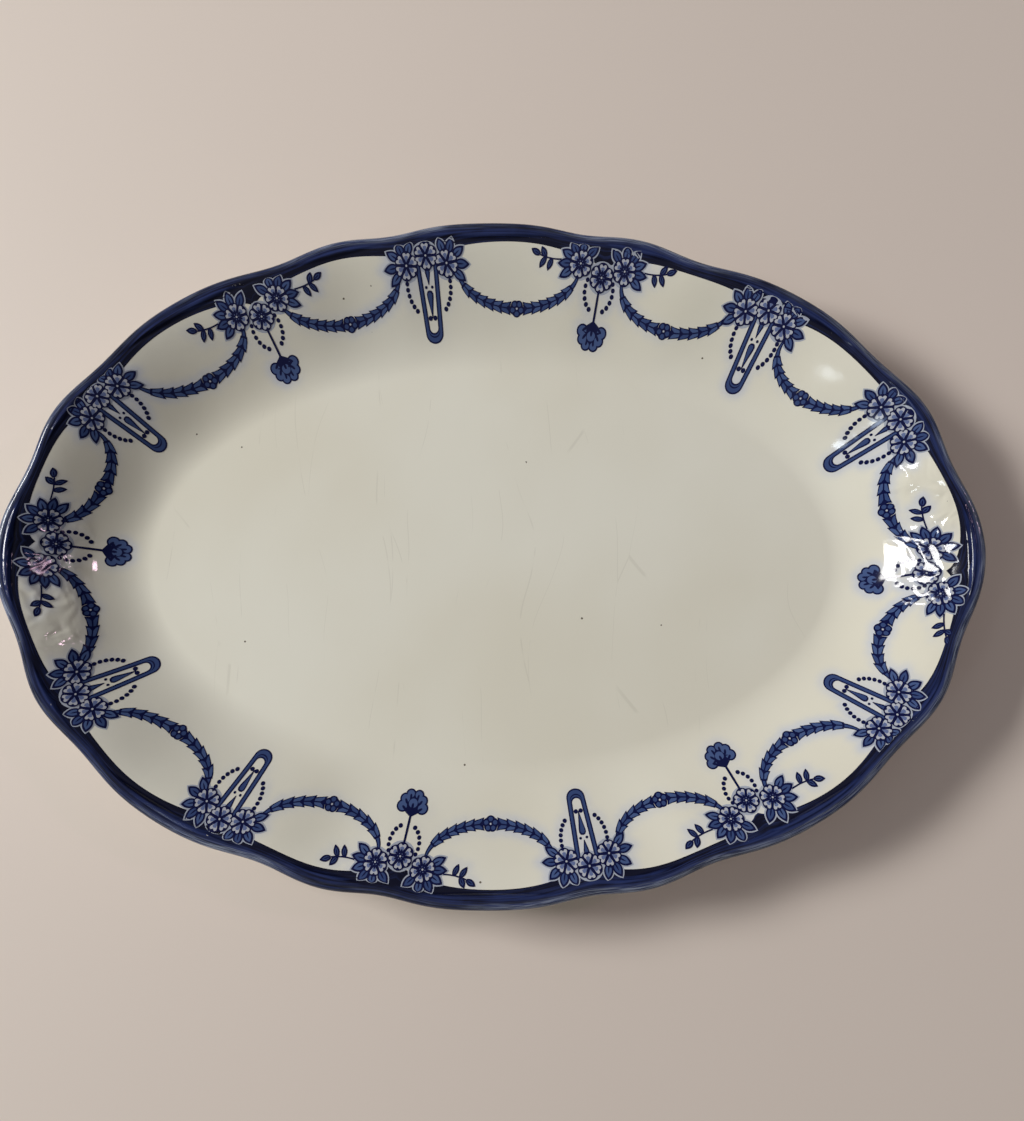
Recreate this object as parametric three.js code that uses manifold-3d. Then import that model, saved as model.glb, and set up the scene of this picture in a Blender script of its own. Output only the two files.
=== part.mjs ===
// An oval china serving platter with a scalloped lip and a printed border of flower sprays,
// husk garlands and hanging pendants. Millimetres, +X along the length, +Z up, standing on z = 0.
// The printed sections are thin skins that lie a little above the clay, one node for each section.
import * as THREE from 'three';
import { TessellateModifier } from 'three/addons/modifiers/TessellateModifier.js';
import { mergeVertices } from 'three/addons/utils/BufferGeometryUtils.js';
import Module from 'manifold-3d';

const wasm = await Module();
wasm.setup();

// Overall size, and the scallops that notch the lip. Each notch is mirrored into all four quarters.
const LENGTH = 363;
const WIDTH = 254;
const HEIGHT = 33;
const RIM_WIDTH = 51;
const NOTCHES = [
  { at: 10.8, depth: 4.2, spread: 5.8 },
  { at: 26, depth: 2.8, spread: 6 },
  { at: 54, depth: 3.1, spread: 7 },
  { at: 73, depth: 2.4, spread: 6.5 },
];

// Section of the clay body.
const CLAY = 4.5;
const FOOT_HEIGHT = 2.5;
const FOOT_WIDTH = 5;
const FOOT_INSET = 4;
const FOOT_TAPER = 0.7;
const LIP_ROLL = 2.6;
const LIP_SLOPE = 0.8;

// Printed sections: their thickness, their gaps above the clay and beside each other, and the bare
// edge that the band leaves round a spray.
const PRINT_THICKNESS = 0.3;
const PRINT_GAP = 0.4;
const PRINT_FACET = 10;
const PRINT_CLEARANCE = 0.3;
const HALO = 0.8;

// The fourteen sprays: place round the oval and lean from square, in degrees, distance outside the well's
// edge, and how far the pendant is drawn out.
const SPRAYS = [
  { kind: 'blossom', at: -3.6, lean: 10, offset: 34, reach: 0.94 },
  { kind: 'loop', at: 25.3, lean: -4, offset: 38, reach: 1.03 },
  { kind: 'loop', at: 51.6, lean: 4, offset: 39.5, reach: 1.08 },
  { kind: 'blossom', at: 74.8, lean: 0, offset: 37, reach: 1.06 },
  { kind: 'loop', at: 98, lean: 0, offset: 38.5, reach: 1.06 },
  { kind: 'blossom', at: 122, lean: 1, offset: 35.5, reach: 1.02 },
  { kind: 'loop', at: 149.2, lean: 3, offset: 39, reach: 0.96 },
  { kind: 'blossom', at: 177.6, lean: 0, offset: 34, reach: 1.04 },
  { kind: 'loop', at: 207, lean: -9, offset: 36, reach: 1.02 },
  { kind: 'loop', at: 236, lean: -3, offset: 38, reach: 0.99 },
  { kind: 'blossom', at: 259.5, lean: -2, offset: 37, reach: 1 },
  { kind: 'loop', at: 282.6, lean: 2, offset: 37, reach: 0.96 },
  { kind: 'blossom', at: 304.8, lean: 1, offset: 35, reach: 0.95 },
  { kind: 'loop', at: 329.5, lean: 8, offset: 38.5, reach: 0.91 },
];

// Flowers and leaves of a spray: places are [along the rim, outwards] from the spray's centre.
const FLOWER_RADIUS = 4.6;
const FLOWER_PETALS = 6;
const FLOWER_SWELL = 0.06;
const LEAF_START = 3.5;
const LEAF_LENGTH = 5.5;
const LEAF_WIDTH = 3.3;
const LOOP_FLOWERS = [[-7.7, -1.2], [0, 1.5], [7.7, -1.2]];
const LOOP_LEAVES = { first: -20, step: 45, count: 3, middle: 50 };
const BLOSSOM_FLOWERS = [[-8.5, 1], [0, -2.2], [8.5, 1]];
const BLOSSOM_LEAVES = { first: -35, step: 45, count: 4, middle: 35 };

// One leaf's edge, in shares of its length and width.
const LEAF_EDGE = [[0, 0.3], [0.45, 0.5], [1, 0], [0.45, -0.5], [0, -0.3]];

// Pendants, measured inwards from the spray's centre.
const LOOP_LENGTH = 25.6;
const LOOP_TOP_WIDTH = 8.6;
const LOOP_END_WIDTH = 6.4;
const LOOP_ARM = 1.9;
const LOOP_FACETS = 4;
const LOOP_OVAL = { centre: 7.4, along: 7.6, inwards: 10, thickness: 1.4 };
const DROP_OVAL = { centre: 6.2, along: 5.4, inwards: 6.6, thickness: 1.4 };
const OVAL_BEADS = 14;
const STEM_WIDTH = 1.2;
const DROP_DISTANCE = 20.6;
const DROP_SIZE = [5.8, 4.9];
const DROP_LOBES = 7;
const DROP_SWELL = 0.07;

// Garlands hang in half ovals between the sprays and carry a rosette at the lowest point.
const GARLAND_TOP = 35;
const GARLAND_SAG = 12.5;
const GARLAND_WIDTH = 4.4;
const GARLAND_TAPER = 0.35;
const HUSK_WAIST = 0.72;
const GARLAND_END_GAP = { loop: 11.5, blossom: 8.5 };
const GARLAND_HUSKS = 7;
const ROSETTE_RADIUS = 2.9;

// The dark border band: its inner edge is measured inwards from the lip and follows a share of each
// notch; the rest is measured from the crest.
const BAND_NARROW = 7.2;
const BAND_ARCH = 4.6;
const BAND_WAVE = 0.4;
const BAND_CREST_GAP = 0.3;
const BAND_LEAST = 1.4;

// Facets.
const OVAL_SEGMENTS = 96;
const RIM_RINGS = 6;
const UNDERSIDE_RINGS = 4;
const LIP_FACET = 0.3;
const ROSETTE_FACETS = 8;
const HALVINGS = 40;

const WELL_LENGTH = LENGTH / 2 - RIM_WIDTH;
const WELL_WIDTH = WIDTH / 2 - RIM_WIDTH;
const WELL_HEIGHT = FOOT_HEIGHT + CLAY;
const CREST_HEIGHT = HEIGHT - PRINT_GAP - PRINT_THICKNESS;
const radians = THREE.MathUtils.degToRad;

// ---------------------------------------------------------------- the oval and its surface

// A point of the oval that lies the given offset outside the well's edge.
function ovalPoint(angle, offset) {
  return new THREE.Vector2(
    (WELL_LENGTH + offset) * Math.cos(angle),
    (WELL_WIDTH + offset) * Math.sin(angle),
  );
}

// How far the notches cut the lip back at an angle of the oval.
function notchDepth(angle) {
  const lip = ovalPoint(angle, RIM_WIDTH);
  const bearing = THREE.MathUtils.radToDeg(Math.atan2(Math.abs(lip.y), Math.abs(lip.x)));
  let depth = 0;
  for (const notch of NOTCHES) {
    const nearness = (bearing - notch.at) / notch.spread;
    depth += notch.depth * Math.exp(-nearness * nearness);
  }
  return depth;
}

function lipOffset(angle) {
  return RIM_WIDTH - notchDepth(angle);
}

// The crest is the highest line of the rim, where the lip starts to roll over.
function crestOffset(angle) {
  return lipOffset(angle) - LIP_ROLL;
}

// Height and slope of the upper surface, by the share of the way from the well's edge to the crest.
function riseHeight(share) {
  const s = THREE.MathUtils.clamp(share, 0, 1);
  const rise = (3 - LIP_SLOPE) * s ** 2 + (LIP_SLOPE - 2) * s ** 3;
  return WELL_HEIGHT + (CREST_HEIGHT - WELL_HEIGHT) * rise;
}

function riseSlope(share, crest) {
  const rise = 2 * (3 - LIP_SLOPE) * share + 3 * (LIP_SLOPE - 2) * share ** 2;
  return ((CREST_HEIGHT - WELL_HEIGHT) * rise) / crest;
}

// The underside keeps the clay's thickness, measured square to the surface.
function undersideHeight(share, crest) {
  return riseHeight(share) - CLAY * Math.hypot(1, riseSlope(share, crest));
}

// Offset of a plan point, found by halving, since the ovals of all offsets lie inside each other.
function offsetAt(x, y) {
  let low = 1 - WELL_WIDTH;
  let high = 2 * RIM_WIDTH;
  for (let step = 0; step < HALVINGS; step++) {
    const middle = (low + high) / 2;
    const reach = (x / (WELL_LENGTH + middle)) ** 2 + (y / (WELL_WIDTH + middle)) ** 2;
    if (reach > 1) low = middle;
    else high = middle;
  }
  return (low + high) / 2;
}

function surfaceHeight(x, y) {
  const offset = offsetAt(x, y);
  const angle = Math.atan2(y / (WELL_WIDTH + offset), x / (WELL_LENGTH + offset));
  return riseHeight(offset / crestOffset(angle));
}

// Millimetres along the rim for each radian of the oval's angle.
function rimStretch(angle, offset) {
  return Math.hypot(
    (WELL_LENGTH + offset) * Math.sin(angle),
    (WELL_WIDTH + offset) * Math.cos(angle),
  );
}

// ---------------------------------------------------------------- solids swept round the oval

// Rings of points, each a function of the angle that gives [offset, height], become one solid.
// A solid with a hole in the middle joins its last ring to its first; the other is capped.
function ovalSolid(rings, hasHole) {
  const vertices = [];
  const faces = [];
  for (const ring of rings) {
    for (let i = 0; i < OVAL_SEGMENTS; i++) {
      const angle = (2 * Math.PI * i) / OVAL_SEGMENTS;
      const [offset, height] = ring(angle);
      const plan = ovalPoint(angle, offset);
      vertices.push(plan.x, plan.y, height);
    }
  }
  const bands = hasHole ? rings.length : rings.length - 1;
  for (let r = 0; r < bands; r++) {
    const here = r * OVAL_SEGMENTS;
    const there = ((r + 1) % rings.length) * OVAL_SEGMENTS;
    for (let i = 0; i < OVAL_SEGMENTS; i++) {
      const next = (i + 1) % OVAL_SEGMENTS;
      faces.push(here + i, there + i, there + next);
      faces.push(here + i, there + next, here + next);
    }
  }
  if (!hasHole) {
    capRing(vertices, faces, 0, false);
    capRing(vertices, faces, (rings.length - 1) * OVAL_SEGMENTS, true);
  }
  const geometry = new THREE.BufferGeometry();
  geometry.setAttribute('position', new THREE.Float32BufferAttribute(vertices, 3));
  geometry.setIndex(faces);
  geometry.computeVertexNormals();
  return geometry;
}

// Closes a flat ring with a fan about a point on the axis.
function capRing(vertices, faces, first, isLast) {
  const centre = vertices.length / 3;
  vertices.push(0, 0, vertices[first * 3 + 2]);
  for (let i = 0; i < OVAL_SEGMENTS; i++) {
    const next = (i + 1) % OVAL_SEGMENTS;
    if (isLast) faces.push(first + i, centre, first + next);
    else faces.push(centre, first + i, first + next);
  }
}

// Well, sides and rim: one clay body, from the middle of the well out over the lip and back below.
function platterBody() {
  const rings = [];
  for (let i = 0; i <= RIM_RINGS; i++) {
    const share = i / RIM_RINGS;
    rings.push((angle) => [share * crestOffset(angle), riseHeight(share)]);
  }
  const facet = LIP_FACET * LIP_ROLL;
  rings.push((angle) => [lipOffset(angle) - facet, CREST_HEIGHT - facet]);
  rings.push((angle) => [lipOffset(angle), CREST_HEIGHT - LIP_ROLL]);
  for (let i = UNDERSIDE_RINGS; i >= 0; i--) {
    const share = i / UNDERSIDE_RINGS;
    rings.push((angle) => {
      const crest = crestOffset(angle);
      return [share * crest, undersideHeight(share, crest)];
    });
  }
  return ovalSolid(rings, false);
}

// The foot is an oval ring under the edge of the well, narrower where it stands.
function footRing() {
  const outer = -FOOT_INSET;
  const inner = outer - FOOT_WIDTH;
  return ovalSolid([
    () => [inner, FOOT_HEIGHT],
    () => [outer, FOOT_HEIGHT],
    () => [outer - FOOT_TAPER, 0],
    () => [inner + FOOT_TAPER, 0],
  ], true);
}

// ---------------------------------------------------------------- printed sections

// The two sprays that an angle lies between, and the angle itself wrapped to lie between them, as
// [from, to, here] in radians.
function panelAround(angle) {
  const turn = 2 * Math.PI;
  const places = SPRAYS.map((spray) => radians(spray.at));
  const wrapped = THREE.MathUtils.euclideanModulo(angle - places[0], turn) + places[0];
  const last = places.findLastIndex((place) => place <= wrapped);
  const next = last + 1 < places.length ? places[last + 1] : places[0] + turn;
  return [places[last], next, wrapped];
}

// The band's inner edge arches over each panel and comes down behind the sprays.
function bandInnerOffset(angle) {
  const [from, to, here] = panelAround(angle);
  const across = (2 * here - from - to) / (to - from);
  const arch = 1 - Math.sqrt(1 - Math.min(1, across * across));
  return RIM_WIDTH - BAND_NARROW - BAND_ARCH * arch - BAND_WAVE * notchDepth(angle);
}

// Turns [along, outwards] beside a spray into a plan point.
function sprayFrame({ at, lean, offset, reach }) {
  const angle = radians(at);
  const centre = ovalPoint(angle, offset);
  const tangent = new THREE.Vector2(
    -(WELL_LENGTH + offset) * Math.sin(angle),
    (WELL_WIDTH + offset) * Math.cos(angle),
  ).normalize();
  tangent.rotateAround(new THREE.Vector2(), radians(lean));
  const outwards = new THREE.Vector2(tangent.y, -tangent.x);
  return (along, out) => {
    const distance = out < 0 ? out * reach : out;
    return centre.clone().addScaledVector(tangent, -along).addScaledVector(outwards, distance);
  };
}

function solidOf(geometry) {
  const bare = geometry.clone();
  bare.deleteAttribute('normal');
  bare.deleteAttribute('uv');
  const merged = mergeVertices(bare, 1e-4);
  return new wasm.Manifold(new wasm.Mesh({
    numProp: 3,
    vertProperties: merged.attributes.position.array,
    triVerts: new Uint32Array(merged.index.array),
  }));
}

// Joins plan outlines into one flat solid.
function flatPlate(outlines) {
  const settings = { depth: PRINT_THICKNESS, bevelEnabled: false };
  const solids = outlines.map(({ edge, hole }) => {
    const shape = new THREE.Shape(edge);
    if (hole) shape.holes.push(new THREE.Path(hole));
    return solidOf(new THREE.ExtrudeGeometry(shape, settings));
  });
  return solids.reduce((joined, solid) => joined.add(solid));
}

// Cuts a flat solid into small facets and lays it over the rim.
function draped(solid) {
  const plate = solid.getMesh();
  const indexed = new THREE.BufferGeometry();
  indexed.setAttribute('position', new THREE.BufferAttribute(plate.vertProperties, 3));
  indexed.setIndex(new THREE.BufferAttribute(plate.triVerts, 1));
  const geometry = new TessellateModifier(PRINT_FACET, 8).modify(indexed.toNonIndexed());
  const position = geometry.attributes.position;
  for (let i = 0; i < position.count; i++) {
    const ground = surfaceHeight(position.getX(i), position.getY(i));
    position.setZ(i, position.getZ(i) + ground + PRINT_GAP);
  }
  geometry.computeVertexNormals();
  return geometry;
}

// Points of a closed curve given by a function of the turn, from 0 to a full circle.
function closedCurve(count, pointAt) {
  return Array.from({ length: count }, (_, i) => pointAt((2 * Math.PI * i) / count));
}

function flowerOutline(place, [along, out], grow) {
  const edge = closedCurve(FLOWER_PETALS * 2, (turn) => {
    const swell = 1 + FLOWER_SWELL * Math.cos(FLOWER_PETALS * turn);
    const radius = FLOWER_RADIUS * swell + grow;
    return place(along + radius * Math.cos(turn), out + radius * Math.sin(turn));
  });
  return { edge };
}

// A pointed leaf that starts under its flower and points away at the given direction.
function leafOutline(place, [along, out], direction, grow) {
  const [cosine, sine] = [Math.cos(direction), Math.sin(direction)];
  const edge = LEAF_EDGE.map(([length, width]) => {
    const far = LEAF_START + length * (LEAF_LENGTH + grow);
    const side = width * (LEAF_WIDTH + 2 * grow);
    return place(along + far * cosine - side * sine, out + far * sine + side * cosine);
  });
  return { edge };
}

// Three flowers, with leaves fanning out from the two at the sides and two more in the gaps.
// Grown by the halo, the same outlines are the space that the band leaves for the spray.
function sprayPlate(spray, grow) {
  const place = sprayFrame(spray);
  const isLoop = spray.kind === 'loop';
  const flowers = isLoop ? LOOP_FLOWERS : BLOSSOM_FLOWERS;
  const leaves = isLoop ? LOOP_LEAVES : BLOSSOM_LEAVES;
  const outlines = flowers.map((flower) => flowerOutline(place, flower, grow));
  for (let i = 0; i < leaves.count; i++) {
    const direction = radians(leaves.first + i * leaves.step);
    outlines.push(leafOutline(place, flowers[2], direction, grow));
    outlines.push(leafOutline(place, flowers[0], Math.PI - direction, grow));
  }
  outlines.push(leafOutline(place, flowers[1], radians(leaves.middle), grow));
  outlines.push(leafOutline(place, flowers[1], Math.PI - radians(leaves.middle), grow));
  const inside = flatPlate([{ edge: insideCrest(BAND_LEAST + HALO - grow) }]);
  return flatPlate(outlines).intersect(inside);
}

function flowerSpray(spray) {
  return draped(sprayPlate(spray, 0));
}

// The oval that runs the given distance inside the crest.
function insideCrest(inset) {
  return closedCurve(OVAL_SEGMENTS, (angle) => ovalPoint(angle, crestOffset(angle) - inset));
}

// The band runs all round under the crest, cut back round each spray.
function borderBand() {
  const inner = closedCurve(OVAL_SEGMENTS, (angle) => ovalPoint(angle, bandInnerOffset(angle)));
  const ring = flatPlate([{ edge: insideCrest(BAND_CREST_GAP), hole: inner.reverse() }]);
  return draped(SPRAYS.reduce((band, spray) => band.subtract(sprayPlate(spray, HALO)), ring));
}

// An oval ring of beads, drawn as one cord.
function beadedOval(place, { centre, along, inwards, thickness }) {
  const ring = (grow) => closedCurve(OVAL_BEADS, (turn) =>
    place((along + grow) * Math.cos(turn), -centre + (inwards + grow) * Math.sin(turn)));
  return { edge: ring(thickness / 2), hole: ring(-thickness / 2).reverse() };
}

// A long loop like a hairpin: two arms that draw together towards a round end.
function loopOutline(place) {
  const side = (inset) => {
    const end = LOOP_END_WIDTH / 2 - inset;
    const top = LOOP_TOP_WIDTH / 2 - inset;
    const round = Array.from({ length: LOOP_FACETS + 1 }, (_, i) => {
      const turn = (Math.PI * i) / LOOP_FACETS;
      const out = -LOOP_LENGTH + LOOP_END_WIDTH / 2 - end * Math.sin(turn);
      return place(-end * Math.cos(turn), out);
    });
    return [place(-top, 0), ...round, place(top, 0)];
  };
  return { edge: [...side(0), ...side(LOOP_ARM).reverse()] };
}

// The hanging blossom is a fan of lobes, broad below and drawn in to its stem.
function dropOutline(place) {
  const edge = closedCurve(DROP_LOBES * 2, (turn) => {
    const swell = 1 + DROP_SWELL * Math.cos(DROP_LOBES * turn);
    const along = DROP_SIZE[0] * swell * Math.sin(turn);
    return place(along, -DROP_DISTANCE - DROP_SIZE[1] * swell * Math.cos(turn));
  });
  return { edge };
}

function stemOutline(place) {
  const half = STEM_WIDTH / 2;
  const far = -DROP_DISTANCE;
  return { edge: [place(-half, 0), place(-half, far), place(half, far), place(half, 0)] };
}

function pendant(spray) {
  const place = sprayFrame(spray);
  const outlines = spray.kind === 'loop'
    ? [loopOutline(place), beadedOval(place, LOOP_OVAL)]
    : [stemOutline(place), dropOutline(place), beadedOval(place, DROP_OVAL)];
  return draped(flatPlate(outlines).subtract(sprayPlate(spray, PRINT_CLEARANCE)));
}

// A garland runs along half an oval between two sprays, with the tips of its husks standing out.
function huskGarland(spray, nextSpray) {
  const turned = nextSpray.at < spray.at ? 360 : 0;
  const [from, to] = [radians(spray.at), radians(nextSpray.at + turned)];
  const start = from + GARLAND_END_GAP[spray.kind] / rimStretch(from, GARLAND_TOP);
  const end = to - GARLAND_END_GAP[nextSpray.kind] / rimStretch(to, GARLAND_TOP);
  const middle = (start + end) / 2;
  const reach = (end - start) / 2;
  const centreAt = (turn) => ovalPoint(
    middle - reach * Math.cos(turn),
    GARLAND_TOP - GARLAND_SAG * Math.sin(turn),
  );
  const sides = [[], []];
  const steps = 2 * GARLAND_HUSKS;
  const nearby = Math.PI / 300;
  for (let i = 0; i <= steps; i++) {
    const turn = (Math.PI * i) / steps;
    const centre = centreAt(turn);
    const ahead = centreAt(turn + nearby).sub(centreAt(turn - nearby)).normalize();
    const taper = GARLAND_TAPER + (1 - GARLAND_TAPER) * Math.sqrt(Math.sin(turn));
    const husk = i % 2 ? 1 : HUSK_WAIST;
    const half = (GARLAND_WIDTH / 2) * taper * husk;
    sides[0].push(new THREE.Vector2(centre.x - half * ahead.y, centre.y + half * ahead.x));
    sides[1].push(new THREE.Vector2(centre.x + half * ahead.y, centre.y - half * ahead.x));
  }
  const rosetteCentre = centreAt(Math.PI / 2);
  const rosette = closedCurve(ROSETTE_FACETS, (turn) => new THREE.Vector2(
    rosetteCentre.x + ROSETTE_RADIUS * Math.cos(turn),
    rosetteCentre.y + ROSETTE_RADIUS * Math.sin(turn),
  ));
  const ribbon = [...sides[1], ...sides[0].reverse()];
  const garland = flatPlate([{ edge: ribbon }, { edge: rosette }]);
  return draped([spray, nextSpray].reduce(
    (rest, neighbour) => rest.subtract(sprayPlate(neighbour, PRINT_CLEARANCE)),
    garland,
  ));
}

// ---------------------------------------------------------------- assembly

const GLAZED_CLAY = new THREE.MeshStandardMaterial({ color: 0xd6d3c7, roughness: 0.2 });
const FOOT_CLAY = new THREE.MeshStandardMaterial({ color: 0xcfc6b2, roughness: 0.75 });
const BAND_BLUE = new THREE.MeshStandardMaterial({ color: 0x1e2545, roughness: 0.2 });
const PRINT_BLUE = new THREE.MeshStandardMaterial({ color: 0x33457d, roughness: 0.2 });

const platter = new THREE.Group();

function addPiece(name, geometry, material) {
  const mesh = new THREE.Mesh(geometry, material);
  mesh.name = name;
  platter.add(mesh);
}

addPiece('platter_body', platterBody(), GLAZED_CLAY);
addPiece('foot_ring', footRing(), FOOT_CLAY);
addPiece('border_band', borderBand(), BAND_BLUE);

SPRAYS.forEach((spray, index) => {
  const number = String(index + 1).padStart(2, '0');
  const nextSpray = SPRAYS[(index + 1) % SPRAYS.length];
  addPiece(`flower_spray_${number}`, flowerSpray(spray), PRINT_BLUE);
  addPiece(`${spray.kind}_pendant_${number}`, pendant(spray), PRINT_BLUE);
  addPiece(`husk_garland_${number}`, huskGarland(spray, nextSpray), PRINT_BLUE);
});

export default platter;
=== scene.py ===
"""The looks of an oval china serving platter with a border printed in blue.

Lengths are millimetres until a mesh is made, which turns them into metres. A place on the platter is an
angle of the oval and an offset, which is the distance outside the well's edge.
"""

import math

import bpy
import numpy as np
from mathutils import Matrix, Vector
from mathutils.kdtree import KDTree


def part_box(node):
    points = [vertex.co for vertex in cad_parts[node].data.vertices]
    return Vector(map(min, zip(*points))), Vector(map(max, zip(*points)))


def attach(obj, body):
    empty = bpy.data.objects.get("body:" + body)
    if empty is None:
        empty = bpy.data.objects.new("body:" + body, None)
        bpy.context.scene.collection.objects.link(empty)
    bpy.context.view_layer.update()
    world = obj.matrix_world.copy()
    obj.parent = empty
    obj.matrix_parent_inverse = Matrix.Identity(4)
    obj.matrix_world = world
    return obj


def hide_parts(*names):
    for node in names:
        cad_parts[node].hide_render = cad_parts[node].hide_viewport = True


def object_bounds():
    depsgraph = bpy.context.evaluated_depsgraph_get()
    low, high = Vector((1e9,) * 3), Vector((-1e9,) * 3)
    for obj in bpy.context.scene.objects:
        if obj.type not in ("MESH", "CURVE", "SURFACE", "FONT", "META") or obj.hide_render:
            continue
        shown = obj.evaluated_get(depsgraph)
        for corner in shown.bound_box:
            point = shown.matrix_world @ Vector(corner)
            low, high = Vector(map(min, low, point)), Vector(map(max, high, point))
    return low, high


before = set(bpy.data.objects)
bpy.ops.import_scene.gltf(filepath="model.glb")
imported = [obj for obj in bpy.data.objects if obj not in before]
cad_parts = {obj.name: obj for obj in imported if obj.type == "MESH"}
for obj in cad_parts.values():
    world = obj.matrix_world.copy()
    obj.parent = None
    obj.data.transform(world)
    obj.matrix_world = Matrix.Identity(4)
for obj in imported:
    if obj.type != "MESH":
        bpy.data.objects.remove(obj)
cad_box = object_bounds()

MM = 0.001

# ------------------------------------------------------------------ sizes of the clay

# Thickness of the wall, the foot's place inside the well's edge, and its width with each side's taper.
CLAY = 4.5
FOOT_INSET = 4
FOOT_WIDTH = 5
FOOT_TAPER = 0.7
FOOT_EDGE_RADIUS = 0.9

# Slope of the side at the lip as a share of its mean slope, and the lip's room inside the CAD's box.
LIP_SLOPE = 0.8
LIP_INSET = 0.1

# Notches of the lip in one quarter: bearing in degrees, depth, spread in degrees.
NOTCHES = ((10.8, 4.2, 5.8), (26, 2.8, 6), (54, 3.1, 7), (73, 2.4, 6.5))


def depth_at_bearing(bearing):
    """How far the notches cut the lip back at a bearing from 0 to 90 degrees."""
    return sum(depth * np.exp(-(((bearing - at) / spread) ** 2)) for at, depth, spread in NOTCHES)


def box_top(node):
    """The highest corner of a node's box."""
    return np.array(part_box(node)[1]) / MM


BODY_TOP = box_top("platter_body")
FOOT_TOP = box_top("foot_ring")
WELL_LENGTH = FOOT_TOP[0] + FOOT_INSET
WELL_WIDTH = FOOT_TOP[1] + FOOT_INSET
RIM_WIDTH = BODY_TOP[0] + depth_at_bearing(0) - WELL_LENGTH
FOOT_HEIGHT = FOOT_TOP[2]
WELL_HEIGHT = FOOT_HEIGHT + CLAY
CREST_HEIGHT = BODY_TOP[2]
ROLL = CLAY / 2

# Embossed rolls below the lip, one for each lobe. A roll's crease leaves the lip beside one notch, draws
# away from it across the lobe and comes back past the next notch, under the start of the next roll.
CREASE_NEAR = 1.6
CREASE_FAR = 6.6
CREASE_OVERLAP = 0.22
RIDGE_HEIGHT = 0.75
RIDGE_WIDTH = 1.5
GROOVE_DEPTH = 0.55
GROOVE_WIDTH = 0.8

# A roll's height at its ends, as a share of that at its middle.
ROLL_END_SHARE = 0.4

# The rolls start at this offset, rise over this distance and end this far before the lip rolls over.
MOULDING_START = 43.2
MOULDING_FADE = 2.5
MOULDING_END_FADE = 1.2

# ------------------------------------------------------------------ sizes of the print

# The fourteen sprays: kind, angle on the oval and lean in degrees, offset, and how far the pendant is
# drawn out.
SPRAYS = (
    ("blossom", -3.6, 10, 34, 0.94),
    ("loop", 25.3, -4, 38, 1.03),
    ("loop", 51.6, 4, 39.5, 1.08),
    ("blossom", 74.8, 0, 37, 1.06),
    ("loop", 98, 0, 38.5, 1.06),
    ("blossom", 122, 1, 35.5, 1.02),
    ("loop", 149.2, 3, 39, 0.96),
    ("blossom", 177.6, 0, 34, 1.04),
    ("loop", 207, -9, 36, 1.02),
    ("loop", 236, -3, 38, 0.99),
    ("blossom", 259.5, -2, 37, 1),
    ("loop", 282.6, 2, 37, 0.96),
    ("blossom", 304.8, 1, 35, 0.95),
    ("loop", 329.5, 8, 38.5, 0.91),
)

# Flowers and leaves. Places are (along the rim, outwards) from the spray's centre, and leaf directions
# are degrees for the right-hand flower, mirrored for the left-hand one.
FLOWER_RADIUS = 4.6
PETALS = 6
LOOP_FLOWERS = ((-7.7, -1.2), (0, 1.5), (7.7, -1.2))
LOOP_LEAVES = (-40, -4, 36, 71, 105)
BLOSSOM_FLOWERS = ((-8.5, 1), (0.2, -2.2), (8.5, 1))
BLOSSOM_LEAVES = (-32, -3, 27, 58, 92, 132)
LEAF_LENGTH = 5.5
LEAF_WIDTH = 3.3
LEAF_START = 3.3
VEIN_SHARE = 0.5
VEIN_WIDTH = 0.5
SPRIG_LENGTH = 8.5
SPRIG_BEND = 12
SPRIG_START = 7.6
SPRIG_LEAF_LENGTH = 4
SPRIG_LEAF_WIDTH = 2.2
HALO = 0.5

# A sprig's leaves: the step of its stem, from 0 at the start to 7 at the tip, and degrees aside.
SPRIG_LEAVES = ((7, 32), (5, 62), (5, -58), (3, -70))

# Pendants, measured inwards from the spray's centre. An oval of beads is half its width, half its
# height and the distance of its centre. An arm or the stem covers the beads that lie between two
# distances beside its axis, and the flowers cover those above a height.
LOOP_LENGTH = 25.6
LOOP_TOP_WIDTH = 8.7
LOOP_END_WIDTH = 6.8
LOOP_OVAL = (8.3, 10, 7.4)
LOOP_COVER = (1.7, 4.45)
DROP_OVAL = (5.4, 6.6, 6.2)
DROP_COVER = (0, 1.2)
FLOWER_COVER = -3
BEAD_RADIUS = 0.82
BEAD_PITCH = 1.85
DROP_NECK = 15.7
STEM_WIDTH = 0.85

# Lobes of the hanging blossom: beside and below its neck, and radius. Those beside it come in pairs.
PALMETTE_LOBES = ((3.7, -2.9, 2.2), (3.1, -5.5, 2.1), (1.5, -7.4, 1.9), (0, -4.3, 2.2))

# Garlands hang in half ovals between the sprays. Their stems widen towards the husks and have a
# lighter core, and the last husk reaches past its pitch by a share of it, up to the rosette.
GARLAND_TOP = 35
GARLAND_SAG = 12.5
GARLAND_END_GAP = {"loop": 11.5, "blossom": 8.5}
HUSK_PITCH = 3.5
HUSK_WIDTH = 4.5
HUSK_PAST = 0.08
GARLAND_STEM = 5.5
GARLAND_STEM_WIDTHS = (0.9, 1.9)
GARLAND_CORE_WIDTHS = (0.25, 0.9)
ROSETTE_RADIUS = 2.9
ROSETTE_OVERLAP = 0.25

# The band's inner edge, measured inwards from the lip.
BAND_NARROW = 7.2
BAND_ARCH = 6.5
BAND_WAVE = 0.6

# How far the band goes round the rolled lip, and its share of the ripples in the glaze.
BAND_TURN = 0.62
BAND_RIPPLE = 0.4

# Width of the print's dark outlines.
LINE = 0.58

# The print keeps this far inside the lip, and what would reach further is drawn in over this distance.
PRINT_MARGIN = 3.8
PRINT_GIVE = 2.2

# How far the blue runs into the glaze beside the print.
FLOW_REACH = 2.2

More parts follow.
